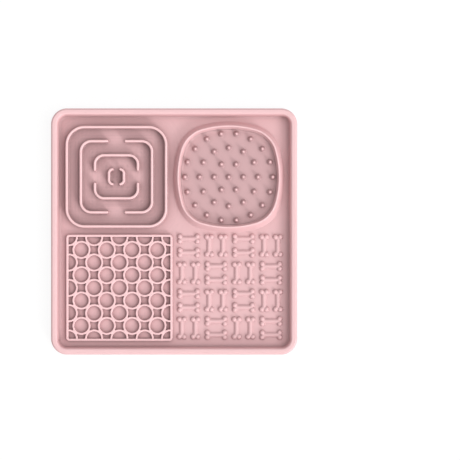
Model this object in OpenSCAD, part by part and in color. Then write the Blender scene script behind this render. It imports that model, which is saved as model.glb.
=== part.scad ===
// Square silicone lick mat: a thin sheet with a raised rim, four feeding
// patterns on its floor and rows of suction cups under it.
// +X is to the right and +Y to the top of the mat as seen from above.
// The origin is under the middle of the mat, on the surface that the cups stand on.

/* [Mat] */
// Side of the square mat
mat_w = 200; // [175:1:260]
// Outer corner radius of the mat
corner_r = 13; // [9:0.5:30]
// Thickness of the base sheet
sheet_t = 2; // [1:0.1:4]

/* [Rim] */
// Height of the rim above the floor
rim_h = 8; // [5:0.5:15]
// Width of the rim over its top
rim_w = 5; // [4:0.1:7]
// Run of the sloped inner face from its top to its foot
rim_slope = 1.2; // [0.4:0.1:2.5]
// Radius of the outer top edge
rim_outer_r = 1.6; // [0.6:0.1:2.2]
// Radius of the inner top edge
rim_inner_r = 1; // [0.4:0.1:1.6]

/* [Suction cups] */
// Cups along each side of the mat
cup_rows = 6; // [2:1:7]
// Centres of the outer cups to the edge of the mat
cup_edge = 20; // [14:0.5:26]
// Diameter over the lip of a cup
cup_d = 16; // [12:0.5:20]
// Height of a cup below the sheet
cup_h = 4; // [3.4:0.1:8]
// Flat width of the lip
cup_lip_w = 1; // [0.6:0.1:2]
// Height of the upright edge of the lip
cup_lip_h = 0.6; // [0.3:0.1:1.2]
// Diameter of the neck under the sheet
cup_neck_d = 8; // [5:0.5:9]
// Height of the neck under the sheet
cup_neck_h = 0.8; // [0.3:0.1:1.4]
// Depth of the hollow in a cup
cup_hollow = 2.2; // [1:0.1:2.6]

/* [Maze] */
// Free margin round the maze in its quarter of the floor
maze_margin = 5.2; // [4.9:0.1:9]
// Shift of the maze to the right of its quarter's middle
maze_shift_x = -0.15; // [-1:0.05:0.4]
// Shift of the maze to the top of its quarter's middle
maze_shift_y = -2.3; // [-2.6:0.05:2]
// Height of the maze walls
maze_h = 6; // [3:0.1:8]
// Width of a maze wall under its rounded crown
maze_wall_w = 2; // [1.2:0.1:3]
// Extra width of a maze wall at its foot, on each side
maze_foot = 0.3; // [0.1:0.05:0.6]
// Centre-line corner radius of the outer wall
maze_outer_r = 14.4; // [8:0.2:18]
// Centre-line corner radius of the second walls
maze_second_r = 8.6; // [4:0.2:12]
// Centre-line corner radius of the third walls
maze_third_r = 7.4; // [3:0.2:9]
// Centre-line corner radius of the core walls
maze_core_r = 3.3; // [2:0.1:4]
// Centre-line half size of the core
maze_core_half = 6.05; // [5:0.05:8]
// Clear gap between the second walls
maze_second_gap = 13.4; // [8:0.2:20]
// Clear gap between the third walls
maze_third_gap = 9.5; // [6:0.1:12]
// Clear gap between the core walls
maze_core_gap = 4.7; // [4:0.1:6]
// Least straight run before the round end of a wall
maze_end_run = 0.4; // [0.2:0.1:1]

/* [Dish] */
// Free margin round the foot of the dish wall in its quarter of the floor
dish_margin = 1.55; // [1.4:0.05:6]
// Shift of the dish to the right of its quarter's middle
dish_shift_x = -2.5; // [-2.6:0.05:0.8]
// Shift of the dish to the top of its quarter's middle
dish_shift_y = -2.4; // [-2.5:0.05:0.8]
// Height of the dish wall
dish_h = 6; // [3.5:0.1:8]
// Thickness of the dish's own floor
dish_floor_t = 0.6; // [0.3:0.1:1]
// Width of the rounded crest of the dish wall
dish_crest_w = 1.3; // [0.8:0.1:2]
// Run of the outer flank from the crest to its foot
dish_flank = 3.6; // [1:0.1:5]
// Run of the inner face from the crest to its foot
dish_inner_run = 2.1; // [1.6:0.1:4.2]
// Run of the steep upper part of the inner face
dish_knee_run = 0.9; // [0.4:0.1:1.4]
// Height of the foot of that steep part
dish_knee_h = 2; // [1.2:0.1:2.7]
// Crest radius of the four long sides
dish_side_r = 79; // [65:1:120]
// Crest radius of the four corners
dish_corner_r = 23.8; // [16:0.2:30]
// Rings of nubs round the middle nub
nub_rings = 3; // [1:1:3]
// Centres of the outer ring of nubs to the crest
nub_edge = 5.4; // [4.9:0.1:12]
// Height of a nub
nub_h = 4; // [2.5:0.1:5]
// Foot radius of a nub
nub_foot_r = 2.5; // [1.8:0.05:2.6]
// Radius of the round tip of a nub
nub_tip_r = 1.4; // [0.8:0.05:1.6]

/* [Ring grid] */
// Free margin round the ring grid in its quarter of the floor
grid_margin = 3.6; // [3:0.1:9]
// Shift of the ring grid to the right of its quarter's middle
grid_shift_x = 2.1; // [-1:0.05:2.4]
// Shift of the ring grid to the top of its quarter's middle
grid_shift_y = 1; // [-1:0.05:2]
// Height of the frame and of the rings
grid_h = 3; // [1.5:0.1:5]
// Width of the frame wall
frame_wall_w = 1.8; // [1.2:0.1:2.6]
// Centre-line corner radius of the frame
frame_r = 1.6; // [1.4:0.1:4]
// Ring pitches along one side of the frame
grid_count = 4; // [2:1:5]
// Centres of the border rings to the inner face of the frame
grid_border = 0.2; // [0.1:0.05:1]
// Width of a ring wall
ring_wall_w = 1.5; // [1:0.1:2]
// Depth by which neighbouring rings run into each other before they are parted
ring_merge = 0.05; // [0.05:0.05:0.3]

/* [Bones] */
// Free margin round the bones in their quarter of the floor
bones_margin = 3.9; // [3.8:0.1:9]
// Shift of the bones to the right of their quarter's middle
bones_shift_x = -1.7; // [-1.8:0.05:1.6]
// Shift of the bones to the top of their quarter's middle
bones_shift_y = 1.7; // [-1.6:0.05:1.9]
// Blocks of two bones along one side
bone_blocks = 4; // [2:1:4]
// Clear gap between a bone's end and the next block
bone_gap = 3.7; // [2:0.1:5]
// Radius of the four round knuckles of a bone
knuckle_r = 2.25; // [1.6:0.05:2.4]
// Height of the knuckles, cut by the floor a little above the middle of their balls
knuckle_h = 2.05; // [1.2:0.05:2.2]
// Distance between the two knuckles at one end
knuckle_spread = 3.9; // [3:0.05:3.9]
// Width of the shaft of a bone
shaft_w = 4.1; // [2:0.1:4.3]
// Height of the shaft of a bone
shaft_h = 1.4; // [0.8:0.05:1.5]

/* [Hidden] */
$fn = 48;

// Colour of the moulded silicone
silicone = "#F2C9CC";

// Levels above the surface that the mat stands on
floor_z = cup_h + sheet_t;

// The flat floor inside the rim, and the side of one quarter of it
quarter = mat_w / 2 - rim_w - rim_slope;
maze_at = [-quarter / 2 + maze_shift_x, quarter / 2 + maze_shift_y, floor_z];
dish_at = [quarter / 2 + dish_shift_x, quarter / 2 + dish_shift_y, floor_z];
grid_at = [-quarter / 2 + grid_shift_x, -quarter / 2 + grid_shift_y, floor_z];
bones_at = [quarter / 2 + bones_shift_x, -quarter / 2 + bones_shift_y, floor_z];

// Suction cups: the hollow is a part of a ball through the inner edge of the lip
cup_pitch = (mat_w - 2 * cup_edge) / (cup_rows - 1);
cup_mouth_r = cup_d / 2 - cup_lip_w;
cup_ball_r = (pow(cup_mouth_r, 2) + pow(cup_hollow, 2)) / (2 * cup_hollow);

// Maze: the walls are evenly spaced from the core to the outer wall
maze_outer_half = quarter / 2 - maze_margin - maze_wall_w / 2 - maze_foot;
maze_pitch = (maze_outer_half - maze_core_half) / 3;
maze_second_half = maze_outer_half - maze_pitch;
maze_third_half = maze_second_half - maze_pitch;

// Dish: four long arcs and four corner arcs that meet smoothly
dish_half = quarter / 2 - dish_margin - dish_flank - dish_crest_w / 2;
dish_side_back = dish_side_r - dish_half;
dish_arc_gap = dish_side_r - dish_corner_r;
dish_corner_out = (sqrt(2 * pow(dish_arc_gap, 2) - pow(dish_side_back, 2)) - dish_side_back) / 2;
dish_side_turn = atan2(dish_corner_out, dish_corner_out + dish_side_back);
// Steps along each arc of the dish, and over its round crest
arc_steps = 12;
crest_steps = 6;

// Nubs: the cone runs smoothly into the round tip
nub_pitch = (dish_half - nub_edge) / nub_rings;
nub_tip_z = nub_h - nub_tip_r;
nub_lean = acos(nub_tip_r / norm([nub_foot_r, nub_tip_z])) - atan2(nub_tip_z, nub_foot_r);

// Ring grid: two square lattices of rings, one half a pitch off the other
frame_half = quarter / 2 - grid_margin - frame_wall_w / 2;
frame_inner = frame_half - frame_wall_w / 2;
grid_pitch = 2 * (frame_inner - grid_border) / grid_count;
ring_part = grid_pitch / (2 * sqrt(2));
ring_r = ring_part + ring_merge - ring_wall_w / 2;
grid_side = grid_count * grid_pitch / 2;

// Bones: two side by side in each block, every other block turned
bones_w = quarter - 2 * bones_margin;
bone_pitch = (bones_w + bone_gap) / bone_blocks;
bone_l = bone_pitch - bone_gap;
knuckle_out = bone_l / 2 - knuckle_r;
shaft_r = (pow(shaft_w / 2, 2) + pow(shaft_h, 2)) / (2 * shaft_h);

// Square outline with round corners, w wide
module round_square(w, r) {
    square([w, w - 2 * r], center = true);
    square([w - 2 * r, w], center = true);
    for (x = [-1, 1], y = [-1, 1])
        translate([x * (w / 2 - r), y * (w / 2 - r)]) circle(r);
}

// Carries a section round a square path whose sides lie at half from the middle.
// The section's x points away from the middle and its y points up.
module carry_round(half, r) {
    for (side = [0 : 3]) rotate(90 * side) {
        translate([half - r, -half, 0]) rotate([90, 0, -90]) linear_extrude(2 * (half - r)) children();
        translate([half - r, r - half, 0]) rotate(-90) rotate_extrude(angle = 90) translate([r, 0]) children();
    }
}

// Section of a wall with a round crown, wider at its foot
module wall_section(w, h, foot) {
    polygon([[-w / 2 - foot, 0], [w / 2 + foot, 0], [w / 2, h - w / 2], [-w / 2, h - w / 2]]);
    translate([0, h - w / 2]) circle(d = w);
}

// Round end of such a wall
module wall_end(w, h, foot) {
    cylinder(r1 = w / 2 + foot, r2 = w / 2, h = h - w / 2);
    translate([0, 0, h - w / 2]) sphere(d = w);
}

module maze_section() wall_section(maze_wall_w, maze_h, maze_foot);

// Half of a square path on the +X side, from one gap to the other, with round ends.
// Where the gap leaves no straight run past the corner, the corner turns less far.
module maze_half_wall(half, r, gap) {
    short_by = gap / 2 + maze_wall_w / 2 - half + r;
    run = max(-short_by, maze_end_run);
    turn = -short_by > maze_end_run ? 90
        : acos(short_by / norm([r, maze_end_run])) - atan2(maze_end_run, r);
    translate([half, half - r, 0]) rotate([90, 0, 0]) linear_extrude(2 * (half - r)) maze_section();
    for (end = [0, 1]) mirror([0, end, 0]) translate([half - r, half - r, 0]) {
        rotate_extrude(angle = turn) translate([r, 0]) maze_section();
        rotate(turn) translate([r, run, 0]) {
            rotate([90, 0, 0]) linear_extrude(run) maze_section();
            wall_end(maze_wall_w, maze_h, maze_foot);
        }
    }
}

// Section of the rim, measured inwards from the outer edge of the mat
module rim_section() {
    polygon([[0, 0], [0, rim_h - rim_outer_r], [-rim_outer_r, rim_h], [rim_inner_r - rim_w, rim_h],
        [-rim_w, rim_h - rim_inner_r], [-rim_w - rim_slope, 0]]);
    translate([-rim_outer_r, rim_h - rim_outer_r]) circle(rim_outer_r);
    translate([rim_inner_r - rim_w, rim_h - rim_inner_r]) circle(rim_inner_r);
}

// Points along an arc, without its last one
function arc_points(middle, r, from, to) =
    [for (i = [0 : arc_steps - 1]) let (a = from + (to - from) * i / arc_steps) middle + r * [cos(a), sin(a)]];

// One quarter of the dish's outline, grown outwards from its crest by out
function dish_quarter(out) = concat(
    arc_points([-dish_side_back, 0], dish_side_r + out, -dish_side_turn, dish_side_turn),
    arc_points([dish_corner_out, dish_corner_out], dish_corner_r + out, dish_side_turn, 90 - dish_side_turn));

function turned(p, a) = [p.x * cos(a) - p.y * sin(a), p.x * sin(a) + p.y * cos(a)];

function dish_outline(out) = [for (side = [0 : 3], p = dish_quarter(out)) turned(p, 90 * side)];

// Section of the dish wall from its inner foot to its outer foot, measured outwards from the crest
dish_section = concat(
    [[-dish_crest_w / 2 - dish_inner_run, dish_floor_t], [-dish_crest_w / 2 - dish_knee_run, dish_knee_h]],
    [for (i = [0 : crest_steps]) let (a = 180 - 180 * i / crest_steps)
        [cos(a) * dish_crest_w / 2, dish_h - dish_crest_w / 2 + sin(a) * dish_crest_w / 2]],
    [[dish_crest_w / 2 + dish_flank, 0]]);

// One ring of the grid, parted flat from its four neighbours
module grid_ring() {
    intersection() {
        rotate_extrude() translate([ring_r, 0]) wall_section(ring_wall_w, grid_h, 0);
        rotate(45) translate([-ring_part, -ring_part, 0]) cube([2 * ring_part, 2 * ring_part, grid_h]);
    }
}

// The same ring where the inner face of the frame cuts it
module cut_ring(x, y) {
    intersection() {
        translate([x, y, 0]) grid_ring();
        translate([-frame_inner, -frame_inner, 0]) cube([2 * frame_inner, 2 * frame_inner, grid_h]);
    }
}

// One bone along X, lying on the floor with its lower half cut away
module bone() {
    intersection() {
        union() {
            for (x = [-1, 1], y = [-1, 1])
                translate([x * knuckle_out, y * knuckle_spread / 2, knuckle_h - knuckle_r]) sphere(knuckle_r);
            translate([-knuckle_out, 0, shaft_h - shaft_r]) rotate([0, 90, 0])
                cylinder(r = shaft_r, h = 2 * knuckle_out);
        }
        translate([-bone_l, -bone_l, 0]) cube([2 * bone_l, 2 * bone_l, bone_l]);
    }
}

// The blocks of one direction: across where odd is 0, upright where it is 1
module bone_field(odd) {
    middle = (bone_blocks - 1) / 2;
    for (column = [0 : bone_blocks - 1], row = [0 : bone_blocks - 1])
        if ((column + row) % 2 == odd)
            translate([(column - middle) * bone_pitch, (middle - row) * bone_pitch, 0])
                rotate(90 * odd)
                    for (pair = [-1, 1]) translate([0, pair * bone_pitch / 4, 0]) bone();
}

module base_sheet() {
    color(silicone) translate([0, 0, cup_h]) linear_extrude(sheet_t) round_square(mat_w, corner_r);
}

module suction_cup() {
    difference() {
        rotate_extrude() polygon([[0, 0], [cup_d / 2, 0], [cup_d / 2, cup_lip_h],
            [cup_neck_d / 2, cup_h - cup_neck_h], [cup_neck_d / 2, cup_h], [0, cup_h]]);
        translate([0, 0, cup_hollow - cup_ball_r]) sphere(cup_ball_r);
    }
}

module suction_cups() {
    color(silicone)
        for (i = [0 : cup_rows - 1], j = [0 : cup_rows - 1])
            translate([i * cup_pitch + cup_edge - mat_w / 2, j * cup_pitch + cup_edge - mat_w / 2, 0])
                suction_cup();
}

module rim() {
    color(silicone) translate([0, 0, floor_z]) carry_round(mat_w / 2, corner_r) rim_section();
}

module maze_outer_wall() {
    color(silicone) translate(maze_at) carry_round(maze_outer_half, maze_outer_r) maze_section();
}

module maze_left_wall() {
    color(silicone) translate(maze_at) rotate(180)
        maze_half_wall(maze_second_half, maze_second_r, maze_second_gap);
}

module maze_right_wall() {
    color(silicone) translate(maze_at)
        maze_half_wall(maze_second_half, maze_second_r, maze_second_gap);
}

module maze_top_wall() {
    color(silicone) translate(maze_at) rotate(90)
        maze_half_wall(maze_third_half, maze_third_r, maze_third_gap);
}

module maze_bottom_wall() {
    color(silicone) translate(maze_at) rotate(-90)
        maze_half_wall(maze_third_half, maze_third_r, maze_third_gap);
}

module maze_core_left() {
    color(silicone) translate(maze_at) rotate(180)
        maze_half_wall(maze_core_half, maze_core_r, maze_core_gap);
}

module maze_core_right() {
    color(silicone) translate(maze_at) maze_half_wall(maze_core_half, maze_core_r, maze_core_gap);
}

module dish_bowl() {
    around = 8 * arc_steps;
    levels = len(dish_section);
    color(silicone) translate(dish_at) polyhedron(
        points = [for (s = dish_section, p = dish_outline(s[0])) [p.x, p.y, s[1]]],
        faces = concat(
            [[for (i = [around - 1 : -1 : 0]) i], [for (i = [0 : around - 1]) (levels - 1) * around + i]],
            [for (k = [0 : levels - 2], i = [0 : around - 1]) let (next = (i + 1) % around)
                [k * around + i, k * around + next, (k + 1) * around + next, (k + 1) * around + i]]));
}

module nub() {
    cylinder(r1 = nub_foot_r, r2 = nub_tip_r * cos(nub_lean), h = nub_tip_z + nub_tip_r * sin(nub_lean));
    translate([0, 0, nub_tip_z]) sphere(nub_tip_r);
}

module dish_nubs() {
    color(silicone) translate(dish_at) translate([0, 0, dish_floor_t]) {
        nub();
        for (ring = [1 : nub_rings], i = [0 : 6 * ring - 1])
            rotate(60 * i / ring) translate([ring * nub_pitch, 0, 0]) nub();
    }
}

module grid_frame() {
    color(silicone) translate(grid_at) carry_round(frame_half, frame_r)
        wall_section(frame_wall_w, grid_h, 0);
}

module grid_offset_rings() {
    color(silicone) translate(grid_at)
        for (i = [0 : grid_count - 1], j = [0 : grid_count - 1])
            translate([(i + 0.5) * grid_pitch - grid_side, (j + 0.5) * grid_pitch - grid_side, 0])
                grid_ring();
}

module grid_centre_rings() {
    color(silicone) translate(grid_at)
        for (i = [1 : grid_count - 1], j = [1 : grid_count - 1])
            translate([i * grid_pitch - grid_side, j * grid_pitch - grid_side, 0]) grid_ring();
}

module grid_edge_rings() {
    color(silicone) translate(grid_at)
        for (side = [0 : 3], i = [1 : grid_count - 1])
            rotate(90 * side) cut_ring(i * grid_pitch - grid_side, -grid_side);
}

module grid_corner_arcs() {
    color(silicone) translate(grid_at)
        for (side = [0 : 3]) rotate(90 * side) cut_ring(-grid_side, -grid_side);
}

module bones_across() {
    color(silicone) translate(bones_at) bone_field(0);
}

module bones_upright() {
    color(silicone) translate(bones_at) bone_field(1);
}

base_sheet();
suction_cups();
rim();
maze_outer_wall();
maze_left_wall();
maze_right_wall();
maze_top_wall();
maze_bottom_wall();
maze_core_left();
maze_core_right();
dish_bowl();
dish_nubs();
grid_frame();
grid_offset_rings();
grid_centre_rings();
grid_edge_rings();
grid_corner_arcs();
bones_across();
bones_upright();
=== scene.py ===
"""Lick mat of pink silicone: a sheet with a raised rim, a maze, a dish with nubs, a grid
of rings and a field of small bones, standing on rows of suction cups.

Every visible piece is a surface worked out with numpy, in millimetres from the middle of
the mat, and stands for the CAD node of the same place. Raised pieces run a little way
into the sheet below them, so that no two faces share one plane.
"""
import math

import bpy
import numpy as np
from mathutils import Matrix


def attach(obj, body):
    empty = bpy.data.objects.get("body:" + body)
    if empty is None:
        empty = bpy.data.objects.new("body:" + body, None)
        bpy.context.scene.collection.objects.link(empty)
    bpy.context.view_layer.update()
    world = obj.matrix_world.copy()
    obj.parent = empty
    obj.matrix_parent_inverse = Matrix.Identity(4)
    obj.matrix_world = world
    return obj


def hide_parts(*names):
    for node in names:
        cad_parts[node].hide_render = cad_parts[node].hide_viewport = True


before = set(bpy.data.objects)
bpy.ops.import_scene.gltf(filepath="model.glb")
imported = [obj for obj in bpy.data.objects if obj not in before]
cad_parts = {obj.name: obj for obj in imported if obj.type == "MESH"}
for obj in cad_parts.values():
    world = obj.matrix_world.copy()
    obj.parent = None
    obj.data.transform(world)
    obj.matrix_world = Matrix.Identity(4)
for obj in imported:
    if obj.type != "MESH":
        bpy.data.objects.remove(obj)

MM = 0.001
WELD = 1e-4          # points closer than this are one point
SINK = 0.3           # depth to which a raised piece runs into what carries it
SEAT = 0.01          # depth to which the end of a foot fillet dips under the floor
SMOOTH_UNDER = 38    # degrees; sharper edges stay sharp
ARC_STEPS = 7        # steps over a rounded edge in a section
ARC_HOLD = 0.15      # from a rounded edge to its holding points, in radii
CORNER_STEPS = 24    # steps round a corner of a path
FOOT_RUN = 1.3       # how far a wall's foot runs out over the floor, in radii of its fillet
HALVINGS = 30        # rounds in which a span is halved to find where a level lies

# Mat, sheet and rim
MAT_AT = (0, 0)
MAT_HALF = 100.0
CORNER_R = 13.0
CUP_H = 4.0
SHEET_T = 2.0
FLOOR_Z = CUP_H + SHEET_T
SHEET_TOP_R, SHEET_EDGE_R = 0.02, 0.7
SHEET_RING = 2.0     # width of the sheet's border that follows its outline
SHEET_GRID_HALF, SHEET_CELLS = 94.0, 235
RIM_H, RIM_W, RIM_SLOPE = 8.0, 5.0, 1.2
RIM_BEVEL, RIM_BEVEL_R, RIM_INNER_R, RIM_FOOT_R = 1.4, (0.7, 0.35), 1.6, 1.8
RIM_FOOT_RUN = 1.2   # in radii of its fillet

# Suction cups
CUP_ROWS = 6
CUP_EDGE = 20.0      # from the mat's edge to the middle of the nearest cup
CUP_R, CUP_LIP_W, CUP_LIP_H = 8.0, 1.0, 0.6
CUP_NECK_R, CUP_NECK_H = 4.0, 0.8
CUP_SPREAD = 1.1     # how far the neck spreads inside the sheet
CUP_HOLLOW = 2.2
CUP_ROUNDINGS = (0.05, 0.05, 0.35, 0.5, 0.25, 0.15)      # from inside the sheet to the mouth
CUP_SIDES, CUP_HOLLOW_STEPS = 36, 12

# Maze
MAZE_AT = (-47.05, 44.6)
MAZE_H, MAZE_WALL_W, MAZE_LEAN = 6.0, 2.0, 0.25
MAZE_CROWN_R, MAZE_FOOT_R = 0.85, 0.7
MAZE_OUTER = (40.4, 14.4)             # half size and corner radius of the middle line
MAZE_SECOND = (28.95, 8.6, 13.4)      # the same and the width of the gaps
MAZE_THIRD = (17.5, 7.4, 9.5)
MAZE_CORE = (6.05, 3.3, 4.7)
MAZE_END_RUN = 0.4   # least straight run between a corner and a round end
WALL_END_STEPS = 12

# Dish and nubs
DISH_AT = (44.4, 44.5)
DISH_HALF, DISH_SIDE_R, DISH_CORNER_R = 41.1, 79.0, 23.8
DISH_H, DISH_FLOOR_T = 6.0, 0.6
DISH_CREST_W, DISH_FLANK, DISH_INNER_RUN = 0.9, 3.8, 2.3
DISH_KNEE_RUN, DISH_KNEE_H = 1.1, 2.0
DISH_CREST_R, DISH_KNEE_R, DISH_INNER_R, DISH_FOOT_R = (0.45, 0.45), 2.4, 2.6, 1.6
DISH_CREST_OUT = 0.1     # how much further the crest reaches on its outer side
DISH_TOE = 0.4           # how much further in than its slope the inner side meets the floor
DISH_FOOT_RUN = 1.5      # how far the flank's foot runs out over the floor
DISH_FLAT = 1.8          # width of the first ring of the dish's floor
DISH_FLOOR_RINGS = 48
NUB_RINGS = 3
NUB_PITCH = 11.9
NUB_H, NUB_FOOT_R, NUB_TIP_R, NUB_FILLET = 4.0, 2.5, 1.1, 0.9
NUB_SIDES, NUB_TIP_STEPS = 32, 9

# Ring grid
GRID_AT = (-44.8, -45.9)
GRID_H = 3.0
FRAME_HALF, FRAME_R, FRAME_WALL_W = 42.4, 1.6, 1.8
GRID_PITCH = 20.65
GRID_COUNT = 4
GRID_SIDE = GRID_COUNT / 2 * GRID_PITCH      # from the grid's middle to the cut rings' middles
RING_R, RING_WALL_W = 6.6009, 1.5
GRID_CROWN_R, GRID_LEAN, GRID_FOOT_R = 0.42, 0.06, 0.45
RING_DIP = 0.015     # the rings' tops lie this much under the frame's
RING_BLEND = 1.2     # width over which the crowns of two touching rings join
RING_SECTIONS = 96
EDGE_PAST = 2        # sections by which a cut ring runs on into the frame

# Bones
BONES_AT = (45.2, -45.2)
BONE_BLOCKS, BONE_PITCH = 4, 22.425
KNUCKLE_R, KNUCKLE_H, KNUCKLE_Y, KNUCKLE_X = 2.25, 2.05, 1.95, 7.1125
SHAFT_W, SHAFT_H, SHAFT_END = 4.1, 1.4, 1.2
BONE_BLEND, BONE_OUTLINE_BLEND, BONE_FOOT_R = 0.35, 0.5, 0.4
BONE_FALL = 4.0      # slope at which a top is carried on past its round part
BONE_END_STEPS, BONE_SIDE_STEPS, BONE_RINGS, BONE_FOOT_STEPS = 40, 16, 11, 5

# Silicone
FLOOR_PINK = ((0.812, 0.507, 0.522, 1), (0.842, 0.536, 0.549, 1))
# Pink of the painted light on crests, tips and tops
CREST_PINK = (0.99, 0.660, 0.672, 1)
CLOUDS_PER_M, GRAINS_PER_M = 38.0, 2600.0       # scales of the two noises
GRAIN_DEPTH, GRAIN_STRENGTH = 0.06, 0.12        # of the bump that the grain makes
MATT = (0.50, 0.64)  # roughness from the smoothest to the coarsest grain
SILICONE_IOR = 1.41
PALE_FROM = 0.85     # value of the attribute raised from which painted light pales the silicone

# Height at which the painted light on a piece's top is palest, in heights of the piece, or on
# the bones of their shaft. At 4 it never pales.
SHEET_PALE, CUPS_PALE, RIM_PALE, DISH_PALE, NUBS_PALE, BONES_PALE = 4, 4, 1.07, 1.03, 0.95, 1.1
BONES_PALEST = 0.91  # most that the attribute raised reaches on the bones
NUB_SHADE, BONE_SHADE = 0.34, 0.36       # share of painted shade on their upright faces

# Light: the lamps have an azimuth, an elevation and a spread in degrees, and a power
SKY = 0.50
KEY = (-4.0, 54.0, 48.0, 1.26)
LOW = (-50.0, 25.0, 16.0, 1.40)
STUDIO_HALF = 6000.0
FLOOR_WHITE, FLOOR_ROUGH, FLOOR_GLOSS = 0.92, 0.9, 0.1
GLOW_SHARE, GLOW_POWER = 0.85, 1.05      # glow that the camera sees, which shadows don't darken

# Shelter: how far the walls around a place close off the sky, painted into the colour as shade
RELIEF_CELL, RELIEF_HALF = 0.5, 135.0
SHELTER_WAYS = 24
RIM_SHADES, DISH_SHADES, GRID_SHADES = 0.46, 0.52, 0.8      # shares of their heights that cast the painted shade
NUB_FIELD = 0.815    # painted shade on the dish's floor among its many nubs, standing in for their shadows
NUB_FIELD_EDGE, NUB_FIELD_DEPTH = 3.0, 2.0      # over which it sets in, from the crest and the tips
BONES_MARGIN = 0.25  # width round the field of bones that counts as near it, in pitches
# Distance off the surface, factor on the steepness, power of the share, and reaches
SHELTERS = ((1.0, 2.0, 0.6, (1.5, 2.2, 3.2, 4.5, 6.5, 9.0, 13.0, 18.0, 25.0, 34.0)),
            (0.15, 1.0, 0.3, (0.6, 1.0, 1.5, 2.2)))

# Picture: the photograph is square, and its middle lies beside the middle of the mat
FRAME_W = 373.2      # width that the picture covers at the height of the rim's top
FRAME_AT = (45.4, 1.2)
CAMERA_UP = 1100.0
TOP_Z = FLOOR_Z + RIM_H
SENSOR = 36.0

# Sockets of a Mix node for colours
MIX_FIRST, MIX_SECOND, MIX_RESULT = 6, 7, 2


def unit(angle):
    """Directions at the angles, in radians."""
    return np.stack([np.cos(angle), np.sin(angle)], axis=-1)


def all_round(count):
    """Directions evenly all round, as many as count says."""
    return unit(np.linspace(0, 2 * math.pi, count, endpoint=False))


def diagonals():
    """The four directions halfway between the axes, anticlockwise."""
    return unit(np.radians([45, 135, 225, 315]))


def four_sides(points):
    """The points of one side of a square shape, and again turned by 90, 180 and 270 degrees."""
    turns = [np.array([[c, s], [-s, c]]) for c, s in ((1, 0), (0, 1), (-1, 0), (0, -1))]
    return np.concatenate([points @ turn for turn in turns])


def lattice(line):
    """Places of a square lattice, with the same line of values along x and y."""
    return np.stack(np.meshgrid(line, line), axis=-1).reshape(-1, 2)


def halve(low, high, under):
    """The spans from low to high, halved many times round where a rising value has its level.

    under says for the middles of the spans whether the value is still below the level.
    """
    for _ in range(HALVINGS):
        middle = (low + high) / 2
        below = under(middle)
        low, high = np.where(below, middle, low), np.where(below, high, middle)
    return low, high


def rounded(corners, radii):
    """A polyline with its inner corners rounded.

    At each corner an arc of the given radius touches both sides. A holding point follows
    each end of the arc on the straight, a share of the radius away, to keep flats flat.
    """
    corners = np.asarray(corners, float)
    points = [corners[:1]]
    for before, corner, after, radius in zip(corners, corners[1:], corners[2:], radii):
        back = (before - corner) / np.linalg.norm(before - corner)
        on = (after - corner) / np.linalg.norm(after - corner)
        half = math.acos(np.clip(back @ on, -1, 1)) / 2
        touch = radius / math.tan(half)
        middle = corner + (back + on) / np.linalg.norm(back + on) * radius / math.sin(half)
        start = corner + back * touch - middle
        side = np.sign(back[0] * on[1] - back[1] * on[0])
        turn = -side * np.linspace(0, math.pi - 2 * half, ARC_STEPS + 1)[:, None]
        across = np.array([-start[1], start[0]])
        arc = middle + start * np.cos(turn) + across * np.sin(turn)
        points += [arc[:1] + back * radius * ARC_HOLD, arc, arc[-1:] + on * radius * ARC_HOLD]
    return np.concatenate(points + [corners[-1:]])


def wall_half(half_w, height, lean, crown_r, foot_r):
    """Half section of a moulded wall, from the middle of its crown to its foot.

    Rows are distance from the middle and height. The flat crown turns down along an
    arc, the side leans out to the foot, and a hollow arc runs out onto the floor.
    """
    foot = half_w + lean
    corners = [(0, height), (half_w, height), (foot, -SEAT), (foot + FOOT_RUN * foot_r, -SEAT)]
    return rounded(corners, [crown_r, foot_r])


def closed_below(section):
    """A section that ends on the floor at both ends, closed by a line under the floor."""
    under = np.array([[section[-1, 0], -SINK], [section[0, 0], -SINK]])
    return np.concatenate([section, under])


def both_sides(half):
    """A whole section from its right half."""
    return np.concatenate([half[:0:-1] * (-1, 1), half])


def lay(path, across, section):
    """A section carried along a path: path + distance * across, at the section's height."""
    flat = path[:, None] + across[:, None] * section[None, :, :1]
    high = np.broadcast_to(section[None, :, 1:], flat.shape[:2] + (1,))
    return np.concatenate([flat, high], axis=2)


def skin(grid, loop_rows=False, loop_cols=False):
    """Triangles over a grid of points, which may join up along its rows or columns."""
    rows, cols = grid.shape[:2]
    i = np.arange(rows - (not loop_rows))[:, None]
    j = np.arange(cols - (not loop_cols))[None, :]
    i_on, j_on = (i + 1) % rows, (j + 1) % cols
    quads = np.stack(np.broadcast_arrays(
        i * cols + j, i_on * cols + j, i_on * cols + j_on, i * cols + j_on), axis=-1)
    return grid.reshape(-1, 3), quads.reshape(-1, 4)[:, [0, 1, 2, 0, 2, 3]].reshape(-1, 3)


def weld(points, tris):
    """Joins equal points and drops the triangles that this closes."""
    keys = np.round(points / WELD).astype(np.int64)
    _, first, same = np.unique(keys, axis=0, return_index=True, return_inverse=True)
    tris = same.reshape(-1)[tris]
    open_tris = (tris[:, 0] != tris[:, 1]) & (tris[:, 1] != tris[:, 2]) & (tris[:, 2] != tris[:, 0])
    return points[first], tris[open_tris]


def outward(points, tris):
    """The triangles turned so that the solid they close has a positive volume."""
    a, b, c = points[tris[:, 0]], points[tris[:, 1]], points[tris[:, 2]]
    volume = np.einsum("ij,ij->", a, np.cross(b, c))
    return tris if volume > 0 else tris[:, ::-1]


def solid(grid, loop_rows=False, loop_cols=False):
    """One closed surface over a grid, welded and facing outwards."""
    points, tris = weld(*skin(grid, loop_rows, loop_cols))
    return points, outward(points, tris)


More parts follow.
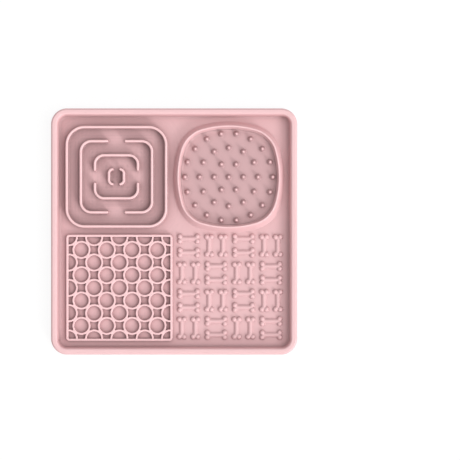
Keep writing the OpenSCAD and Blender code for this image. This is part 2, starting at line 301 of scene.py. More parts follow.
def copies(shape, places, angle=0.0):
    """A surface turned by an angle in degrees and repeated at many places."""
    points, tris = shape
    c, s = math.cos(math.radians(angle)), math.sin(math.radians(angle))
    turned = points @ np.array([[c, s, 0], [-s, c, 0], [0, 0, 1]])
    places = np.asarray(places, float).reshape(-1, 2)
    shift = np.pad(places, ((0, 0), (0, 1)))[:, None]
    first = np.arange(len(places))[:, None, None] * len(points)
    return (turned[None] + shift).reshape(-1, 3), (tris[None] + first).reshape(-1, 3)


def joined(shapes):
    """Several surfaces as one."""
    counts = np.cumsum([0] + [len(points) for points, _ in shapes])
    return (np.concatenate([points for points, _ in shapes]),
            np.concatenate([tris + first for (_, tris), first in zip(shapes, counts)]))


def add_piece(name, node, shape, at, base_z, height, material, relief,
              palest=1.0, sides=0.0):
    """Makes the object of one node, placed at a point of the plan with its base at base_z.

    The attribute raised is a point's height over the base divided by height, at least 0
    and at most palest; it paints light on tops and crests. The attribute open is the
    point's openness, less the share sides of it where the surface stands upright; it
    paints shade into the colour.
    """
    points, tris = shape
    points = points + (at[0], at[1], base_z)
    mesh = bpy.data.meshes.new(name)
    mesh.vertices.add(len(points))
    mesh.vertices.foreach_set("co", (points * MM).ravel())
    mesh.loops.add(tris.size)
    mesh.loops.foreach_set("vertex_index", tris.ravel().astype(np.int32))
    mesh.polygons.add(len(tris))
    mesh.polygons.foreach_set("loop_start", np.arange(0, tris.size, 3, dtype=np.int32))
    mesh.update(calc_edges=True)
    mesh.shade_smooth()
    mesh.set_sharp_from_angle(angle=math.radians(SMOOTH_UNDER))
    raised = mesh.attributes.new("raised", "FLOAT", "POINT")
    raised.data.foreach_set("value", np.clip((points[:, 2] - base_z) / height, 0, palest))
    normals = np.empty(points.size)
    mesh.vertices.foreach_get("normal", normals)
    normals = normals.reshape(-1, 3)
    upright = 1 - normals[:, 2]
    sky = mesh.attributes.new("open", "FLOAT", "POINT")
    # Painted shade: upright faces darker by the share sides
    sky.data.foreach_set("value", openness(points, normals, relief) * (1 - sides * upright))
    mesh.materials.append(material)
    piece = bpy.data.objects.new(name, mesh)
    bpy.context.scene.collection.objects.link(piece)
    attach(piece, "root")
    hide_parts(node)


# Paths

def square_path(half, radius):
    """A square with round corners, anticlockwise: its points and outward directions.

    Each corner's arc has its middle on the diagonal, a radius in from both sides.
    """
    quarter = np.radians(np.linspace(0, 90, CORNER_STEPS + 1))
    across = unit(quarter[None] + np.radians([0, 90, 180, 270])[:, None])
    corner = diagonals() * math.sqrt(2) * (half - radius)
    return (corner[:, None] + radius * across).reshape(-1, 2), across.reshape(-1, 2)


def dish_arcs():
    """Middles of the dish's arcs and half the turn of a side arc.

    A side arc's middle lies back past the dish's middle by its radius less half the dish.
    A corner arc's middle lies on the diagonal, out by as much as makes the two middles the
    difference of the radii apart, and the side arc turns up to the line through both.
    """
    back = DISH_SIDE_R - DISH_HALF
    gap = DISH_SIDE_R - DISH_CORNER_R
    out = (math.sqrt(2 * gap ** 2 - back ** 2) - back) / 2
    return back, out, math.atan2(out, out + back)


def dish_path():
    """The dish's crest: four long arcs and four corner arcs that meet smoothly."""
    back, out, turn = dish_arcs()
    side = unit(np.linspace(-turn, turn, CORNER_STEPS, endpoint=False))
    corner = unit(np.linspace(turn, math.pi / 2 - turn, CORNER_STEPS, endpoint=False))
    across = np.concatenate([side, corner])
    points = np.concatenate([(-back, 0) + DISH_SIDE_R * side, (out, out) + DISH_CORNER_R * corner])
    return four_sides(points), four_sides(across)


def half_wall_path(half, radius, gap):
    """Half of a square path on the +X side, from its lower gap to its upper gap.

    After each corner comes a straight run up to the gap's edge, less half the wall for the
    round end. Where that leaves less than the least run, the corner turns less far.
    """
    short_by = gap / 2 + MAZE_WALL_W / 2 - half + radius
    run = max(-short_by, MAZE_END_RUN)
    turn = math.pi / 2
    if -short_by <= MAZE_END_RUN:
        turn = (math.acos(short_by / math.hypot(radius, MAZE_END_RUN))
                - math.atan2(MAZE_END_RUN, radius))
    across = unit(np.linspace(0, turn, CORNER_STEPS + 1))
    points = (half - radius, half - radius) + radius * across
    along = np.array([-across[-1, 1], across[-1, 0]])
    points = np.concatenate([points, points[-1:] + run * along])
    across = np.concatenate([across, across[-1:]])
    mirror = (1, -1)
    return (np.concatenate([points[::-1] * mirror, points]),
            np.concatenate([across[::-1] * mirror, across]))


def round_ends(points, across):
    """A wall's path as a loop: up one side, half round its end, down the other side and back."""
    angle = np.linspace(0, math.pi, WALL_END_STEPS + 1)[1:-1, None]
    along = across @ np.array([[0, 1], [-1, 0]])
    caps = [across[-1] * np.cos(angle) + along[-1] * np.sin(angle),
            -across[0] * np.cos(angle) - along[0] * np.sin(angle)]
    middles = [np.repeat(points[[row]], WALL_END_STEPS - 1, axis=0) for row in (-1, 0)]
    return (np.concatenate([points, middles[0], points[::-1], middles[1]]),
            np.concatenate([across, caps[0], -across[::-1], caps[1]]))


# Sheet, rim and cups

def sheet_shape():
    """The flat sheet: a grid on top, a border out to the outline, and a flat underside.

    The border has a row of points for each point of the grid's edge. It goes from there to
    the outline, whose straight sides lie opposite and whose arcs share out the corners.
    """
    line = np.linspace(-SHEET_GRID_HALF, SHEET_GRID_HALF, SHEET_CELLS + 1)
    x, y = np.meshgrid(line, line, indexing="ij")
    inside = np.stack([x, y, np.full_like(x, SHEET_T)], axis=-1)
    straight = MAT_HALF - CORNER_R
    row = line[:-1]
    angle = np.clip((np.abs(row) - straight) / (SHEET_GRID_HALF - straight), 0, 1) * math.pi / 4
    across = np.stack([np.cos(angle), np.sign(row) * np.sin(angle)], axis=1)
    corner = np.stack([np.full_like(angle, straight), np.clip(row, -straight, straight)], axis=1)
    edge = four_sides(np.stack([np.full_like(row, SHEET_GRID_HALF), row], axis=1))
    section = rounded([(-SHEET_RING, SHEET_T), (0, SHEET_T), (0, 0), (-SHEET_RING, 0)],
                      [SHEET_TOP_R, SHEET_EDGE_R])
    border = lay(four_sides(corner + CORNER_R * across), four_sides(across), section)
    start = np.pad(edge, ((0, 0), (0, 1)), constant_values=SHEET_T)[:, None]
    border = np.concatenate([start, border, border[:, -1:] * (0, 0, 1)], axis=1)
    top_points, top_tris = skin(inside)
    points, tris = weld(*joined([(top_points, top_tris[:, ::-1]), skin(border, loop_rows=True)]))
    return points, outward(points, tris)


def rim_shape():
    """The rim's section carried round the mat's outline, measured from its outer face.

    It has an upright outer side, a small bevel, a flat crest and a steep inner side.
    """
    path, across = square_path(MAT_HALF, CORNER_R)
    section = rounded([(0, 0), (0, RIM_H - RIM_BEVEL), (-RIM_BEVEL, RIM_H), (-RIM_W, RIM_H),
                       (-RIM_W - RIM_SLOPE, -SEAT),
                       (-RIM_W - RIM_SLOPE - RIM_FOOT_RUN * RIM_FOOT_R, -SEAT)],
                      [*RIM_BEVEL_R, RIM_INNER_R, RIM_FOOT_R])
    under = [(section[-1, 0], -SINK), (-SINK, -SINK)]
    return solid(lay(path, across, np.concatenate([section, under])), True, True)


def turned_shape(section, sides):
    """A closed solid of revolution of a section that starts and ends on the axis."""
    across = all_round(sides)
    return solid(lay(np.zeros_like(across), across, section), loop_rows=True)


def cup_shape():
    """One suction cup: neck, flared skirt, upright lip and a hollow that is part of a ball.

    The ball goes through the mouth's edge, and the hollow's depth gives its radius.
    """
    mouth = CUP_R - CUP_LIP_W
    ball_r = (mouth ** 2 + CUP_HOLLOW ** 2) / (2 * CUP_HOLLOW)
    spread = CUP_NECK_R + CUP_SPREAD
    outside = rounded([(0, CUP_H + SINK), (spread, CUP_H + SINK), (spread, CUP_H + SEAT),
                       (CUP_NECK_R, CUP_H + SEAT), (CUP_NECK_R, CUP_H - CUP_NECK_H),
                       (CUP_R, CUP_LIP_H), (CUP_R, 0), (mouth, 0)], CUP_ROUNDINGS)
    r = mouth * np.cos(np.linspace(0, math.pi / 2, CUP_HOLLOW_STEPS))[1:]
    hollow = np.stack([r, CUP_HOLLOW - ball_r + np.sqrt(ball_r ** 2 - r ** 2)], axis=1)
    hollow[-1, 0] = 0       # exactly on the axis
    return turned_shape(np.concatenate([outside, hollow]), CUP_SIDES)


def cup_places():
    """Middles of the cups, in even rows between the outermost ones."""
    return lattice(np.linspace(CUP_EDGE - MAT_HALF, MAT_HALF - CUP_EDGE, CUP_ROWS))


# Maze

def maze_half():
    """Half section of the maze's walls."""
    return wall_half(MAZE_WALL_W / 2, MAZE_H, MAZE_LEAN, MAZE_CROWN_R, MAZE_FOOT_R)


def maze_closed_wall(half, radius):
    """A wall's whole section carried round a closed path."""
    return solid(lay(*square_path(half, radius), closed_below(both_sides(maze_half()))), True, True)


def maze_open_wall(half, radius, gap):
    """A wall with round ends: its half section carried up one side, round the end and back."""
    half_section = maze_half()
    under = [(half_section[-1, 0], -SINK), (0, -SINK)]
    section = np.concatenate([half_section, under])
    return solid(lay(*round_ends(*half_wall_path(half, radius, gap)), section), loop_rows=True)


# Dish

def dish_shape():
    """The dish's section carried round its crest, then drawn in to the middle above and below.

    From outside it has a straight flank, a narrow crest, a steep side down to a knee, and a
    shallower one that runs out onto the dish's floor.
    """
    half_w = DISH_CREST_W / 2
    section = rounded([(half_w + DISH_FLANK + DISH_FOOT_RUN, -SEAT), (half_w + DISH_FLANK, -SEAT),
                       (half_w + DISH_CREST_OUT, DISH_H), (-half_w, DISH_H),
                       (-half_w - DISH_KNEE_RUN, DISH_KNEE_H),
                       (-half_w - DISH_INNER_RUN - DISH_TOE, DISH_FLOOR_T),
                       (-half_w - DISH_INNER_RUN - DISH_FLAT, DISH_FLOOR_T)],
                      [DISH_FOOT_R, *DISH_CREST_R, DISH_KNEE_R, DISH_INNER_R])
    section = np.concatenate([[(section[0, 0], -SINK)], section])
    border = lay(*dish_path(), section)
    share = np.linspace(1, 0, DISH_FLOOR_RINGS + 1)[1:, None]
    inside = border[:, -1:] * np.concatenate([share, share, np.ones_like(share)], axis=1)
    under = border[:, :1] * (0, 0, 1)
    return solid(np.concatenate([under, border, inside], axis=1), loop_rows=True)


def nub_shape():
    """A cone that runs smoothly into its round tip, and out onto the floor along a hollow arc.

    The tip is part of a ball, and the cone's side is the tangent to it from the foot.
    """
    tip_z = NUB_H - NUB_TIP_R
    lean = math.acos(NUB_TIP_R / math.hypot(NUB_FOOT_R, tip_z)) - math.atan2(tip_z, NUB_FOOT_R)
    tip = unit(np.linspace(math.pi / 2, lean, NUB_TIP_STEPS)) * NUB_TIP_R + (0, tip_z)
    tip[0, 0] = 0       # exactly on the axis
    foot = rounded([tip[-1], (NUB_FOOT_R, -SEAT), (NUB_FOOT_R + NUB_FILLET, -SEAT)], [NUB_FILLET])
    under = [(NUB_FOOT_R + NUB_FILLET, -SINK), (0, -SINK)]
    return turned_shape(np.concatenate([tip, foot[1:], under]), NUB_SIDES)


def nub_places():
    """A nub in the middle and rings of six, twelve and eighteen round it."""
    rings = [all_round(6 * k) * k * NUB_PITCH for k in range(1, NUB_RINGS + 1)]
    return np.concatenate([np.zeros((1, 2))] + rings)


# Ring grid

def grid_half(width):
    """Half section of a wall of the grid."""
    return wall_half(width / 2, GRID_H, GRID_LEAN, GRID_CROWN_R, GRID_FOOT_R)


def frame_shape():
    """The frame's section carried round a square."""
    section = closed_below(both_sides(grid_half(FRAME_WALL_W)))
    return solid(lay(*square_path(FRAME_HALF, FRAME_R), section), True, True)


def smooth_min(a, b, width):
    """The lower of two values, rounded over the width where they meet.

    Its nearness goes from 0 where the two differ by the width to 1 where they are equal,
    and the result is lower by the nearness squared times a quarter of the width.
    """
    near = np.maximum(width - np.abs(a - b), 0) / width
    return np.minimum(a, b) - near ** 2 * width / 4


def neighbour_rings():
    """Middles of the four rings that touch a ring, from its own middle."""
    return diagonals() * GRID_PITCH / math.sqrt(2)


def ring_cut(ray):
    """How far past a ring's middle line each ray meets the flat face towards a neighbour.

    The face stands halfway between the two middles. A ray meets it at half their distance,
    divided by the cosine of its angle to the line between them.
    """
    apart = GRID_PITCH / math.sqrt(2)
    return apart / 2 / (ray @ neighbour_rings().T / apart).max(1) - RING_R


def ring_level(ray, out):
    """Blended distance from a ring's middle line, at distances out past it along the rays.

    It is the smooth minimum of the distances to this ring's and to the nearest
    neighbour's middle line.
    """
    place = ray[:, None] * (RING_R + out)[..., None]
    away = np.linalg.norm(place[:, :, None] - neighbour_rings(), axis=3).min(2)
    return smooth_min(out, np.abs(away - RING_R), RING_BLEND)


def ring_shape(first=0, last=RING_SECTIONS, loop=True):
    """A ring between two numbered sections, cut flat where its four neighbours begin.

    The inner side of the section goes straight in. On the outer side, each level of the
    section lies where the blended distance has the level's value, or at the cut if it
    would lie past that.
    """
    step = 360 / RING_SECTIONS
    ray = unit(np.radians(step * np.arange(first, last if loop else last + 1)))
    half = grid_half(RING_WALL_W) - (0, RING_DIP)
    cut = np.repeat(ring_cut(ray)[:, None], len(half), axis=1)
    low, high = halve(np.zeros_like(cut), cut, lambda out: ring_level(ray, out) < half[:, 0])
    outer = np.where(ring_level(ray, cut) <= half[:, 0], cut, (low + high) / 2)
    outer[:, 0] = 0     # the crown's middle, on the ring's middle line
    outer_z = np.interp(ring_level(ray, outer), half[:, 0], half[:, 1])
    inner = np.broadcast_to(-half[:0:-1, 0], (len(ray), len(half) - 1))
    inner_z = np.broadcast_to(half[:0:-1, 1], inner.shape)
    out = np.concatenate([inner, outer, outer[:, -1:], inner[:, :1]], axis=1)
    height = np.concatenate([inner_z, outer_z, np.full((len(ray), 2), -SINK)], axis=1)
    grid = np.concatenate([ray[:, None] * (RING_R + out)[..., None], height[..., None]], axis=2)
    if not loop:
        ends = grid[[0, -1]].mean(axis=1, keepdims=True) + np.zeros_like(grid[[0, -1]])
        grid = np.concatenate([ends[:1], grid, ends[1:]])
    return solid(grid, loop_rows=loop, loop_cols=True)


def ring_line(count):
    """Places of a row of rings along one axis: a pitch apart, with the row's middle at 0."""
    return (np.arange(count) - (count - 1) / 2) * GRID_PITCH


def edge_ring_shapes():
    """Half rings along the frame's four sides."""
    line = ring_line(GRID_COUNT - 1)
    shape = ring_shape(-EDGE_PAST, RING_SECTIONS // 2 + EDGE_PAST, loop=False)
    rows = [(line, -GRID_SIDE, 0), (GRID_SIDE, line, 90),
            (line, GRID_SIDE, 180), (-GRID_SIDE, line, 270)]
    return joined([copies(shape, np.stack(np.broadcast_arrays(x, y), -1), turn)
                   for x, y, turn in rows])


def corner_arc_shapes():
    """Quarter rings in the frame's four corners."""
    shape = ring_shape(-EDGE_PAST, RING_SECTIONS // 4 + EDGE_PAST, loop=False)
    corners = [(-1, -1, 0), (1, -1, 90), (1, 1, 180), (-1, 1, 270)]
    return joined([copies(shape, (x * GRID_SIDE, y * GRID_SIDE), turn) for x, y, turn in corners])


# Bones

def smooth_max(a, b, width):
    """The higher of two values, rounded over the width where they meet."""
    return -smooth_min(-a, -b, width)


def round_top(off, radius, height):
    """Height of a ball or bar of a radius whose top is at height, at a distance off its middle.

    Past the radius the height goes on falling at a steady slope, so that it still blends.
    """
    ball = np.sqrt(np.maximum(radius ** 2 - off ** 2, 0))
    return np.where(off < radius, ball, -BONE_FALL * (off - radius)) + height - radius


def bone_fields(place):
    """Distance to a bone's outline and height of its top, at places in its plan.

    Four half balls are the knuckles and a lying round bar is the shaft. Both the outline
    and the top are the smooth union of the five.
    """
    x, y = place[..., 0], place[..., 1]
    shaft_r = ((SHAFT_W / 2) ** 2 + SHAFT_H ** 2) / (2 * SHAFT_H)
    past = np.maximum(np.abs(x) - (KNUCKLE_X - SHAFT_END), 0)
    off_axis = np.hypot(past, y)
    outline = off_axis - SHAFT_W / 2
    top = round_top(off_axis, shaft_r, SHAFT_H)
    for side in (-1, 1):
        off = np.hypot(np.abs(x) - KNUCKLE_X, y - side * KNUCKLE_Y)
        outline = smooth_min(outline, off - KNUCKLE_R, BONE_OUTLINE_BLEND)
        top = smooth_max(top, round_top(off, KNUCKLE_R, KNUCKLE_H), BONE_BLEND)
    return outline, top


def bone_rays():
    """Starts and directions of rays out of a bone's axis: a fan at each end, a ladder between.

    A fan starts at the knuckles' middle and opens up to where their balls meet the shaft.
    """
    meet = KNUCKLE_X - math.sqrt(KNUCKLE_R ** 2 - (KNUCKLE_Y - SHAFT_W / 2) ** 2)
    open_at = math.atan2(SHAFT_W / 2, meet - KNUCKLE_X)
    fan = unit(np.linspace(-open_at, open_at, BONE_END_STEPS, endpoint=False))
    share = np.linspace(1, -1, BONE_SIDE_STEPS, endpoint=False)
    start = np.concatenate([np.broadcast_to((KNUCKLE_X, 0), fan.shape),
                            np.stack([share * KNUCKLE_X, 0 * share], 1)])
    ladder = np.stack([share * (meet - KNUCKLE_X), np.full_like(share, SHAFT_W / 2)], 1)
    ray = np.concatenate([fan, ladder / np.linalg.norm(ladder, axis=1, keepdims=True)])
    return np.concatenate([start, -start]), np.concatenate([ray, -ray])


def bone_shape():
    """A bone over rings of points, from its axis out to its outline and down its foot fillet.

    The rings lie at shares of the way to the outline, and at levels past it, which space
    the fillet's points evenly along a quarter circle.
    """
    start, ray = bone_rays()
    levels = BONE_FOOT_R * (1 - np.cos(np.linspace(0, math.pi / 2, BONE_FOOT_STEPS)))

    def along(out):
        """Places at distances out along the rays."""
        return start[:, None] + ray[:, None] * out[..., None]

    axis = np.zeros((len(ray), len(levels)))
    beyond = np.full_like(axis, 2 * KNUCKLE_R + KNUCKLE_Y)
    edge, _ = halve(axis, beyond, lambda out: bone_fields(along(out))[0] < levels)
    shares = np.sin(np.linspace(0, math.pi / 2, BONE_RINGS))
    place = along(np.concatenate([edge[:, :1] * shares, edge[:, 1:]], axis=1))
    outline, top = bone_fields(place)
    rest = np.clip(outline / BONE_FOOT_R, 0, 1)
    foot = BONE_FOOT_R * (1 - np.sqrt(1 - (1 - rest) ** 2)) - SEAT
    height = np.maximum(np.minimum(top, KNUCKLE_H), foot)
    grid = np.concatenate([place, height[..., None]], axis=2)
    under = np.stack([grid[:, -1], np.concatenate([start, start[:, :1] * 0], 1)], axis=1)
    under[..., 2] = -SINK
    return solid(np.concatenate([grid, under], axis=1), loop_rows=True)


def bone_places(odd):
    """Middles of the bones of one direction: in every other block two, half a pitch apart."""
    middle = (BONE_BLOCKS - 1) / 2
    column, row = np.meshgrid(np.arange(BONE_BLOCKS), np.arange(BONE_BLOCKS))
    chosen = (column + row) % 2 == odd
    block = np.stack([column[chosen] - middle, middle - row[chosen]], axis=1) * BONE_PITCH
    step = np.array([(BONE_PITCH / 4, 0) if odd else (0, BONE_PITCH / 4)])
    return np.concatenate([block - step, block + step])


# Shelter: the relief and the openness that paint shade into the colour

def square_gap(x, y, half, radius):
    """Distance to a square with round corners, negative inside it.

    It is the distance to the smaller square of the corners' middles, less their radius.
    """
    x, y = np.abs(x) - half + radius, np.abs(y) - half + radius
    return np.hypot(np.maximum(x, 0), np.maximum(y, 0)) + np.minimum(np.maximum(x, y), 0) - radius


def dish_gap(x, y):
    """Distance to the dish's crest, negative inside it.

    Every place is first folded into the eighth between the X axis and the diagonal. There
    it is the distance to the middle of the side arc or of the corner arc, less its radius.
    """
    x, y = np.maximum(np.abs(x), np.abs(y)), np.minimum(np.abs(x), np.abs(y))
    back, out, turn = dish_arcs()
    return np.where(np.arctan2(y, x + back) < turn, np.hypot(x + back, y) - DISH_SIDE_R,
                    np.hypot(x - out, y - out) - DISH_CORNER_R)


def wall_cover(gap, width):
    """1 over a wall whose middle line is at gap 0, and 0 beside it, changing over one cell."""
    return np.clip((width / 2 - np.abs(gap)) / RELIEF_CELL + 0.5, 0, 1)


def maze_cover(x, y):
    """1 over the maze's walls, and 0 over its channels and gaps."""
    cover = wall_cover(square_gap(x, y, *MAZE_OUTER), MAZE_WALL_W)
    for (half, radius, gap), off in ((MAZE_SECOND, x), (MAZE_THIRD, y), (MAZE_CORE, x)):
        wall = wall_cover(square_gap(x, y, half, radius), MAZE_WALL_W)
        cover = np.maximum(cover, np.where(np.abs(off) < gap / 2, 0, wall))
    return cover


def dish_height(x, y):
    """Height of the dish's section at the distance to its crest, and on it the nearest nub's."""
    half_w = DISH_CREST_W / 2
    crest_h = DISH_SHADES * DISH_H
    dish = np.interp(dish_gap(x, y),
                     [-half_w - DISH_INNER_RUN, -half_w - DISH_KNEE_RUN, -half_w, half_w,
                      half_w + DISH_FLANK],
                     [DISH_FLOOR_T, DISH_KNEE_H, crest_h, crest_h, 0])
    nub = np.hypot(x[..., None] - nub_places()[:, 0], y[..., None] - nub_places()[:, 1]).min(-1)
    return dish + np.interp(nub, [0, NUB_TIP_R, NUB_FOOT_R], [NUB_H, NUB_H - NUB_TIP_R, 0])


def grid_cover(x, y):
    """1 over the grid's frame and over the rings inside it, and 0 beside them.

    The rings of one lattice have their middles at whole pitches and those of the other
    half a pitch further, so a place's nearest middle comes from rounding.
    """
    edge = square_gap(x, y, FRAME_HALF, FRAME_R)
    cover = wall_cover(edge, FRAME_WALL_W)
    pitches = np.stack([x, y]) / GRID_PITCH
    for shift in (0.0, 0.5):
        off = pitches - np.round(pitches - shift) - shift
        ring = wall_cover(GRID_PITCH * np.hypot(*off) - RING_R, RING_WALL_W)
        cover = np.maximum(cover, np.where(edge < 0, ring, 0))
    return cover


def bones_height(x, y):
    """Height of the bones' tops, and 0 between the bones."""
    place = np.stack([x, y], axis=-1)
    near = (np.abs(place) < BONE_PITCH * (BONE_BLOCKS / 2 + BONES_MARGIN)).all(-1)
    height = np.zeros_like(x)
    for odd in (0, 1):
        for middle in bone_places(odd):
            off = place[near] - middle
            outline, top = bone_fields(off[:, ::-1] if odd else off)
            bone = np.where(outline < 0, np.minimum(top, KNUCKLE_H), 0)
            height[near] = np.maximum(height[near], bone)
    return height


def make_relief():
    """Height of the mat's top over a square grid of places, from the same sizes as the pieces."""
    line = np.arange(-RELIEF_HALF, RELIEF_HALF + RELIEF_CELL / 2, RELIEF_CELL)
    x, y = np.meshgrid(line, line, indexing="ij")
    edge = square_gap(x, y, MAT_HALF, CORNER_R)
    parts = [RIM_SHADES * RIM_H * np.clip((edge + RIM_W + RIM_SLOPE) / RIM_SLOPE, 0, 1),
             MAZE_H * maze_cover(x - MAZE_AT[0], y - MAZE_AT[1]),
             dish_height(x - DISH_AT[0], y - DISH_AT[1]),
             GRID_SHADES * GRID_H * grid_cover(x - GRID_AT[0], y - GRID_AT[1]),
             bones_height(x - BONES_AT[0], y - BONES_AT[1])]
    return np.where(edge < 0, FLOOR_Z + np.max(parts, axis=0), 0)


def openness(points, normals, relief):
    """How open to an even sky each point lies among the relief around it, at most 1.

    It is taken a little way off the surface. Along each of many directions the horizon is
    the steepest way up to the relief at growing reach, and a direction's share is
    1 / (1 + (its steepness times a factor) squared). The mean share, to a power, is taken
    once over far reaches and once over near ones, and the two are multiplied. In the dish
    a painted shade for the nubs' shadows comes in as one tone, from the crest inwards and
    from the nubs' tips down. The underside and all that lies outside the rim's middle stay
    at 1. The silicone's colour is multiplied by this openness, as painted shade.
    """
    share = np.ones(len(points))
    for off, factor, power, reaches in SHELTERS:
        place = points + off * normals
        total = np.zeros(len(points))
        for way in all_round(SHELTER_WAYS):
            steep = np.zeros(len(points))
            for reach in reaches:
                cell = np.round((place[:, :2] + reach * way + RELIEF_HALF) / RELIEF_CELL).astype(int)
                steep = np.maximum(steep, (relief[cell[:, 0], cell[:, 1]] - place[:, 2]) / reach)
            total += 1 / (1 + (factor * steep) ** 2)
        share *= (total / SHELTER_WAYS) ** power
    # Painted shade for the nubs' shadows on the dish's floor
    inwards = -dish_gap(points[:, 0] - DISH_AT[0], points[:, 1] - DISH_AT[1])
    in_dish = np.clip(inwards / NUB_FIELD_EDGE, 0, 1)
    tips_z = FLOOR_Z + DISH_FLOOR_T + NUB_H
    below_tips = np.clip((tips_z - points[:, 2]) / NUB_FIELD_DEPTH, 0, 1)
    share *= 1 - (1 - NUB_FIELD) * in_dish * below_tips
    outer = square_gap(points[:, 0], points[:, 1], MAT_HALF, CORNER_R) > -RIM_W / 2
    return np.where(outer | (points[:, 2] < FLOOR_Z - 2 * SINK), 1, share)


# Material

def add_node(tree, kind, at, **values):
    """A node at a place in the tree, with its properties and unlinked sockets set."""
    node = tree.nodes.new(kind)
    node.location = at
    for key, value in values.items():
        if hasattr(node, key):
            setattr(node, key, value)
        else:
            node.inputs[key.replace("_", " ")].default_value = value
    return node


def silicone():
    """Matt pink silicone with a clouded colour and a fine grain.

    It is paler where the attribute raised nears 1, which is painted light on its tops and
    crests, and its colour is multiplied by the attribute open, which is painted shade.
    """
    material = bpy.data.materials.new("matt_pink_silicone")
    material.use_nodes = True
    tree = material.node_tree
    link = tree.links.new
    shader = tree.nodes["Principled BSDF"]
    place = add_node(tree, "ShaderNodeTexCoord", (-1200, 0))

    clouds = add_node(tree, "ShaderNodeTexNoise", (-900, 250), Scale=CLOUDS_PER_M, Detail=3.0,
                      Roughness=0.55)
    link(place.outputs["Object"], clouds.inputs["Vector"])
    body = add_node(tree, "ShaderNodeMix", (-650, 250), data_type="RGBA")
    body.inputs[MIX_FIRST].default_value = FLOOR_PINK[0]
    body.inputs[MIX_SECOND].default_value = FLOOR_PINK[1]
    link(clouds.outputs["Fac"], body.inputs[0])

    # Painted light: tops and crests paler where the attribute raised nears 1
    raised = add_node(tree, "ShaderNodeAttribute", (-900, 520), attribute_name="raised")
    painted_light_ramp = add_node(tree, "ShaderNodeMapRange", (-700, 520), interpolation_type="SMOOTHSTEP")
    painted_light_ramp.inputs["From Min"].default_value = PALE_FROM
    painted_light_ramp.inputs["From Max"].default_value = 1.0
    link(raised.outputs["Fac"], painted_light_ramp.inputs["Value"])
    painted_light = add_node(tree, "ShaderNodeMix", (-450, 350), data_type="RGBA")
    painted_light.inputs[MIX_SECOND].default_value = CREST_PINK
    link(painted_light_ramp.outputs["Result"], painted_light.inputs[0])
    link(body.outputs[MIX_RESULT], painted_light.inputs[MIX_FIRST])

    # Painted shade: the colour is multiplied by the attribute open, darker in hollows and beside
    # walls
    sky = add_node(tree, "ShaderNodeAttribute", (-450, 620), attribute_name="open")
    painted_shade = add_node(tree, "ShaderNodeMix", (-200, 350), data_type="RGBA", blend_type="MULTIPLY")
    painted_shade.inputs[0].default_value = 1.0
    link(painted_light.outputs[MIX_RESULT], painted_shade.inputs[MIX_FIRST])
    link(sky.outputs["Color"], painted_shade.inputs[MIX_SECOND])
    link(painted_shade.outputs[MIX_RESULT], shader.inputs["Base Color"])

    grain = add_node(tree, "ShaderNodeTexNoise", (-900, -150), Scale=GRAINS_PER_M, Detail=2.0)
    link(place.outputs["Object"], grain.inputs["Vector"])
    frost = add_node(tree, "ShaderNodeMapRange", (-600, -50))
    frost.inputs["To Min"].default_value = MATT[0]
    frost.inputs["To Max"].default_value = MATT[1]
    link(grain.outputs["Fac"], frost.inputs["Value"])
    link(frost.outputs["Result"], shader.inputs["Roughness"])

    bump = add_node(tree, "ShaderNodeBump", (-350, -250), Strength=GRAIN_STRENGTH,
                    Distance=GRAIN_DEPTH * MM)
    link(grain.outputs["Fac"], bump.inputs["Height"])
    link(bump.outputs["Normal"], shader.inputs["Normal"])

    shader.inputs["IOR"].default_value = SILICONE_IOR
    return material


# Stage

def add_floor():
    """A white studio floor. To the camera it also glows a little, so its shadow stays soft."""
    size = STUDIO_HALF * MM
    mesh = bpy.data.meshes.new("studio_floor")
    mesh.from_pydata([(-size, -size, 0), (size, -size, 0), (size, size, 0), (-size, size, 0)],
                     [], [(0, 1, 2, 3)])
    floor = bpy.data.objects.new("studio_floor", mesh)
    bpy.context.scene.collection.objects.link(floor)
    material = bpy.data.materials.new("white_floor")
    material.use_nodes = True
    tree = material.node_tree
    shader = tree.nodes["Principled BSDF"]
    shader.inputs["Base Color"].default_value = (FLOOR_WHITE, FLOOR_WHITE, FLOOR_WHITE, 1)
    shader.inputs["Roughness"].default_value = FLOOR_ROUGH
    shader.inputs["Specular IOR Level"].default_value = FLOOR_GLOSS
    glow = add_node(tree, "ShaderNodeEmission", (0, -200), Strength=GLOW_POWER)
    rays = add_node(tree, "ShaderNodeLightPath", (-200, 300))
    share = add_node(tree, "ShaderNodeMath", (0, 300), operation="MULTIPLY")
    share.inputs[1].default_value = GLOW_SHARE
    mix = add_node(tree, "ShaderNodeMixShader", (300, 0))
    tree.links.new(rays.outputs["Is Camera Ray"], share.inputs[0])
    tree.links.new(share.outputs[0], mix.inputs[0])
    tree.links.new(shader.outputs[0], mix.inputs[1])
    tree.links.new(glow.outputs[0], mix.inputs[2])
    tree.links.new(mix.outputs[0], tree.nodes["Material Output"].inputs["Surface"])
    mesh.materials.append(material)


def add_world():
    """Even white light, and a white backdrop wherever the camera or a reflection sees it."""
    world = bpy.data.worlds.new("studio")
    bpy.context.scene.world = world
    world.use_nodes = True
    tree = world.node_tree
    light = tree.nodes["Background"]
    light.inputs["Color"].default_value = (1, 1, 1, 1)
    light.inputs["Strength"].default_value = SKY
    seen = add_node(tree, "ShaderNodeBackground", (0, -200))
    seen.inputs["Color"].default_value = (1, 1, 1, 1)
    rays = add_node(tree, "ShaderNodeLightPath", (-600, 300))
    some = add_node(tree, "ShaderNodeMath", (-350, 300), operation="MAXIMUM")
    every = add_node(tree, "ShaderNodeMath", (-150, 300), operation="MAXIMUM")
    mix = add_node(tree, "ShaderNodeMixShader", (250, 0))
    tree.links.new(rays.outputs["Is Camera Ray"], some.inputs[0])
    tree.links.new(rays.outputs["Is Glossy Ray"], some.inputs[1])
    tree.links.new(some.outputs[0], every.inputs[0])
    tree.links.new(rays.outputs["Is Transmission Ray"], every.inputs[1])
    tree.links.new(every.outputs[0], mix.inputs[0])
    tree.links.new(light.outputs[0], mix.inputs[1])
    tree.links.new(seen.outputs[0], mix.inputs[2])
    tree.links.new(mix.outputs[0], tree.nodes["World Output"].inputs["Surface"])


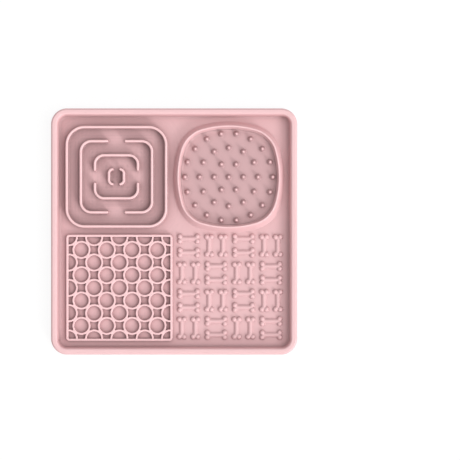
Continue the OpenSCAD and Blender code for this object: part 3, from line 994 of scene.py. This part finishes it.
def add_lamp(name, azimuth, elevation, spread, power):
    """A wide soft lamp far away, seen from the mat at an azimuth and an elevation in degrees.

    The light falls along the lamp's own -Z, so the lamp is tipped by 90 degrees less the
    elevation, and then turned by the azimuth and 90 degrees.
    """
    lamp = bpy.data.lights.new(name, "SUN")
    lamp.energy = power
    lamp.angle = math.radians(spread)
    holder = bpy.data.objects.new(name, lamp)
    bpy.context.scene.collection.objects.link(holder)
    holder.rotation_euler = (math.radians(90 - elevation), 0, math.radians(azimuth + 90))


def add_camera():
    """Straight down over the middle of the photograph, a little over a metre above the rim.

    The lens is to the sensor as the camera's height is to the width that it sees.
    """
    data = bpy.data.cameras.new("camera")
    data.sensor_width = SENSOR
    data.lens = SENSOR * CAMERA_UP / FRAME_W
    camera = bpy.data.objects.new("camera", data)
    camera.location = (FRAME_AT[0] * MM, FRAME_AT[1] * MM, (TOP_Z + CAMERA_UP) * MM)
    bpy.context.scene.collection.objects.link(camera)
    bpy.context.scene.camera = camera


def build():
    """Makes the 19 pieces, each from its shape, its place, its base and where it is palest."""
    pink = silicone()
    relief = make_relief()

    def put(name, node, shape, at, base_z, height, **shading):
        """One piece, in silicone and under the mat's own relief."""
        add_piece(name, node, shape, at, base_z, height, pink, relief, **shading)

    put("sheet", "base_sheet", sheet_shape(), MAT_AT, CUP_H, SHEET_T * SHEET_PALE)
    put("cups", "suction_cups", copies(cup_shape(), cup_places()), MAT_AT, 0, CUP_H * CUPS_PALE)
    put("rim_edge", "rim", rim_shape(), MAT_AT, FLOOR_Z, RIM_H * RIM_PALE)

    put("maze_wall_outer", "maze_outer_wall", maze_closed_wall(*MAZE_OUTER), MAZE_AT, FLOOR_Z, MAZE_H)
    walls = [("maze_wall_left", "maze_left_wall", MAZE_SECOND, 180),
             ("maze_wall_right", "maze_right_wall", MAZE_SECOND, 0),
             ("maze_wall_top", "maze_top_wall", MAZE_THIRD, 90),
             ("maze_wall_bottom", "maze_bottom_wall", MAZE_THIRD, -90),
             ("maze_bracket_left", "maze_core_left", MAZE_CORE, 180),
             ("maze_bracket_right", "maze_core_right", MAZE_CORE, 0)]
    for name, node, sizes, turn in walls:
        wall = copies(maze_open_wall(*sizes), (0, 0), turn)     # turned about the maze's middle
        put(name, node, wall, MAZE_AT, FLOOR_Z, MAZE_H)

    put("dish", "dish_bowl", dish_shape(), DISH_AT, FLOOR_Z, DISH_H * DISH_PALE)
    put("nubs", "dish_nubs", copies(nub_shape(), nub_places()), DISH_AT, FLOOR_Z + DISH_FLOOR_T,
        NUB_H * NUBS_PALE, sides=NUB_SHADE)

    ring = ring_shape()
    grids = [("grid_edge", "grid_frame", frame_shape()),
             ("rings_offset", "grid_offset_rings", copies(ring, lattice(ring_line(GRID_COUNT)))),
             ("rings_centre", "grid_centre_rings", copies(ring, lattice(ring_line(GRID_COUNT - 1)))),
             ("rings_cut", "grid_edge_rings", edge_ring_shapes()),
             ("arcs_cut", "grid_corner_arcs", corner_arc_shapes())]
    for name, node, shape in grids:
        put(name, node, shape, GRID_AT, FLOOR_Z, GRID_H)

    bone = bone_shape()
    bones = [("bones_lying", "bones_across", 0, 0), ("bones_standing", "bones_upright", 1, 90)]
    for name, node, odd, turn in bones:
        put(name, node, copies(bone, bone_places(odd), turn), BONES_AT, FLOOR_Z,
            SHAFT_H * BONES_PALE, palest=BONES_PALEST, sides=BONE_SHADE)


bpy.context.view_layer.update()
bpy.context.scene.view_settings.view_transform = "Standard"
add_camera()
add_world()
add_lamp("key", *KEY)
add_lamp("low", *LOW)
add_floor()
build()
